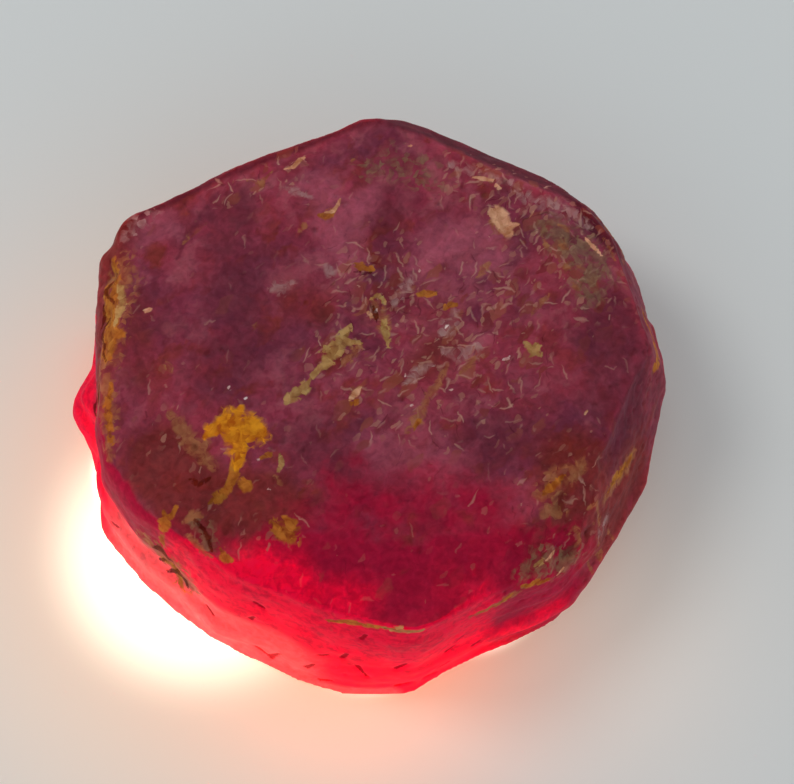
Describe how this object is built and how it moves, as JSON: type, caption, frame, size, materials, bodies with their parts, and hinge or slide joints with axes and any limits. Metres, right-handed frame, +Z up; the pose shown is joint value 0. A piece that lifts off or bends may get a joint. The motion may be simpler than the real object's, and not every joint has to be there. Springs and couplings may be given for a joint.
{
  "type": "raw ruby crystal",
  "caption": "Tabular six-sided raw crystal with worn edges, a low ledge, chips and etched pits, resting on its flat base face.",
  "frame": {"origin": "on the flat base face, under the middle of the bounding box", "axes": "+Z up, square to the base face and along the crystal's short main axis; +X to the right, along the crystal's longest extent; -Y towards the worn front"},
  "size_m": [0.0344, 0.0322, 0.0122],
  "materials": {
    "raw_ruby": "satin"
  },
  "bodies": {
    "root": {"ruby_crystal": "raw_ruby"}
  },
  "joints": []
}
